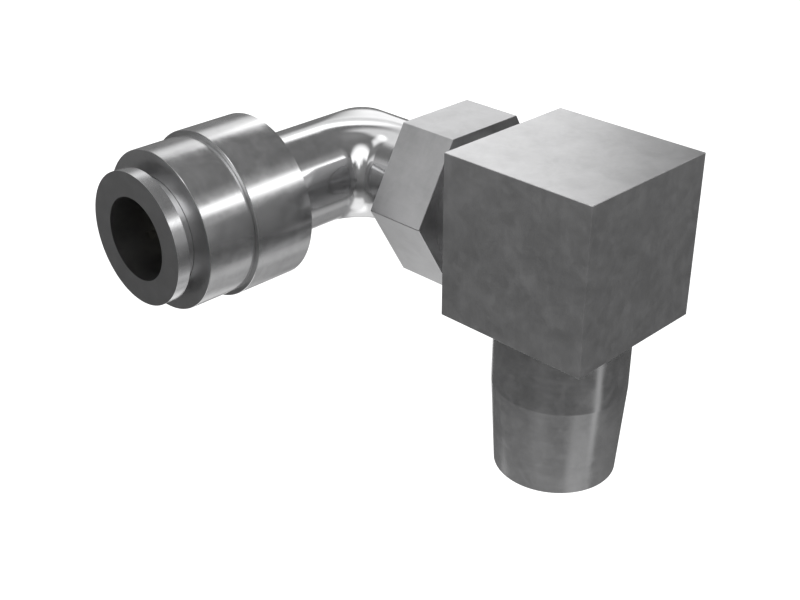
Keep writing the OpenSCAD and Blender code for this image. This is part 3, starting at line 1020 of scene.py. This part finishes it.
def looked_at(tree):
    """1 where the background itself is seen: by the camera, in a reflection or through glass."""
    path = tree.nodes.new("ShaderNodeLightPath").outputs
    return maths(tree, "MAXIMUM", path["Is Camera Ray"],
                 maths(tree, "MAXIMUM", path["Is Glossy Ray"], path["Is Transmission Ray"]))


def paint_room(scene, white):
    """A world that is white where it is seen and lights the object at a plain level."""
    world = bpy.data.worlds.new("white_room")
    world.use_nodes = True
    tree = world.node_tree
    tree.nodes.clear()
    plain = put(tree, "ShaderNodeBackground", {"Color": white, "Strength": ROOM_LEVEL}).outputs[0]
    shown = put(tree, "ShaderNodeBackground", {"Color": white, "Strength": 1.0}).outputs[0]
    mixed = put(tree, "ShaderNodeMixShader", {0: looked_at(tree), 1: plain, 2: shown}).outputs[0]
    put(tree, "ShaderNodeOutputWorld", {0: mixed})
    world.cycles.sampling_method = "NONE"
    scene.world = world


def lay_floor(white, depth):
    """A large sheet of white paper that keeps the object's shadow."""
    put_down()
    bpy.ops.mesh.primitive_plane_add(size=FLOOR_SIZE, location=(0, 0, -depth))
    floor = named("studio_floor")
    open_up()
    bpy.ops.mesh.subdivide(number_cuts=3)
    bpy.ops.object.mode_set(mode="OBJECT")
    paper, tree = new_material("white_floor_paper")
    matt = put(tree, "ShaderNodeBsdfDiffuse", {"Color": scaled(white[:3], PAPER_SHADE)}).outputs[0]
    glow = put(tree, "ShaderNodeEmission", {
        "Color": white, "Strength": maths(tree, "MULTIPLY", looked_at(tree), PAPER_GLOW)}).outputs[0]
    both = put(tree, "ShaderNodeAddShader", {0: matt, 1: glow}).outputs[0]
    put(tree, "ShaderNodeOutputMaterial", {0: both})
    wear(floor, paper)


def hang_tent(tent_level, card_level):
    """A round light tent that only the steel's reflections see, with its cards."""
    put_down()
    bpy.ops.mesh.primitive_uv_sphere_add(segments=48, ring_count=24, radius=TENT_RADIUS)
    tent = named("light_tent")
    smooth(tent, 60)
    cloth, tree = new_material("lit_tent_cloth")
    place = tree.nodes.new("ShaderNodeTexCoord").outputs["Object"]
    direction = vectors(tree, "NORMALIZE", place)
    up = put(tree, "ShaderNodeSeparateXYZ", {0: direction}).outputs[2]
    ramp = put(tree, "ShaderNodeValToRGB", {0: spread(tree, up, -1.0, 1.0, 0.0, 1.0)})
    stops = ramp.color_ramp.elements
    stops.remove(stops[-1])
    for number, (height, shade) in enumerate(TENT):
        stop = stops.new((height + 1) / 2) if number else stops[0]
        stop.position = (height + 1) / 2
        stop.color = (shade, shade, shade, 1.0)
    light = maths(tree, "MULTIPLY", ramp.outputs[0], tent_level)
    for azimuth, elevation, width, height, edge, strength in CARDS.values():
        middle = towards(azimuth, elevation)
        side = Vector((0, 0, 1)).cross(middle).normalized()
        half_width, half_height, soft = (math.tan(math.radians(a)) for a in (width, height, edge))
        card = effect(tree, "lit_card", {
            "Direction": direction, "Middle": middle, "Side": side, "Up": middle.cross(side),
            "Half Width": half_width, "Half Height": half_height, "Edge": soft,
            "Level": strength * card_level})["Light"]
        light = maths(tree, "ADD", light, card)
    glow = put(tree, "ShaderNodeEmission", {"Color": maths(tree, "MAXIMUM", light, 0.0)}).outputs[0]
    put(tree, "ShaderNodeOutputMaterial", {0: glow})
    wear(tent, cloth)
    tent.visible_camera = tent.visible_diffuse = tent.visible_shadow = False


def place_camera(scene):
    """A camera where the photograph was taken from, with its lens."""
    put_down()
    bpy.ops.object.camera_add(location=CAMERA_PLACE,
                              rotation=tuple(math.radians(turn) for turn in CAMERA_TURN))
    scene.camera = bpy.context.object
    scene.camera.name = "product_camera"
    scene.camera.data.lens = CAMERA_LENS
    scene.camera.data.sensor_width = SENSOR_WIDTH
    scene.camera.data.clip_start, scene.camera.data.clip_end = 0.001, 10.0


class FITTING_OT_studio(bpy.types.Operator):
    """Set up the pale floor, the white background, the light tent with its cards and the camera"""
    bl_idname = "fitting.studio"
    bl_label = "Studio"

    def execute(self, context):
        s, scene = context.scene.fitting_studio, context.scene
        white = tuple(s.backdrop) + (1.0,)
        paint_room(scene, white)
        lay_floor(white, s.floor_depth)
        hang_tent(s.tent_level, s.card_level)
        place_camera(scene)
        scene.view_settings.view_transform = "Standard"
        return {"FINISHED"}


# Sidebar and registration

OPERATORS = (
    (FITTING_OT_studio, "fitting_studio", StudioSettings),
    (FITTING_OT_adapter_block, "fitting_block", BlockSettings),
    (FITTING_OT_hex_stud, "fitting_hex", HexSettings),
    (FITTING_OT_swivel_elbow, "fitting_elbow", ElbowSettings),
    (FITTING_OT_socket_rings, "fitting_socket", SocketSettings),
    (FITTING_OT_release_collet, "fitting_collet", ColletSettings),
    (FITTING_OT_hidden_rings, "fitting_seals", SealSettings),
)


class FITTING_PT_sidebar(bpy.types.Panel):
    bl_idname = "FITTING_PT_sidebar"
    bl_label = "Grease line elbow"
    bl_space_type = "VIEW_3D"
    bl_region_type = "UI"
    bl_category = "Grease elbow"

    def draw(self, context):
        for operator, name, settings in OPERATORS:
            box = self.layout.box()
            box.operator(operator.bl_idname)
            for key in settings.__annotations__:
                box.prop(getattr(context.scene, name), key)


def register():
    for operator, name, settings in OPERATORS:
        bpy.utils.register_class(settings)
        setattr(bpy.types.Scene, name, bpy.props.PointerProperty(type=settings))
        bpy.utils.register_class(operator)
    bpy.utils.register_class(FITTING_PT_sidebar)


def unregister():
    bpy.utils.unregister_class(FITTING_PT_sidebar)
    for operator, name, settings in reversed(OPERATORS):
        bpy.utils.unregister_class(operator)
        delattr(bpy.types.Scene, name)
        bpy.utils.unregister_class(settings)


def main():
    register()
    bpy.ops.fitting.studio()
    bpy.ops.fitting.adapter_block()
    bpy.ops.fitting.hex_stud()
    bpy.ops.fitting.swivel_elbow()
    bpy.ops.fitting.socket_rings()
    bpy.ops.fitting.release_collet()
    bpy.ops.fitting.hidden_rings()
    put_down()


if __name__ == "__main__":
    main()
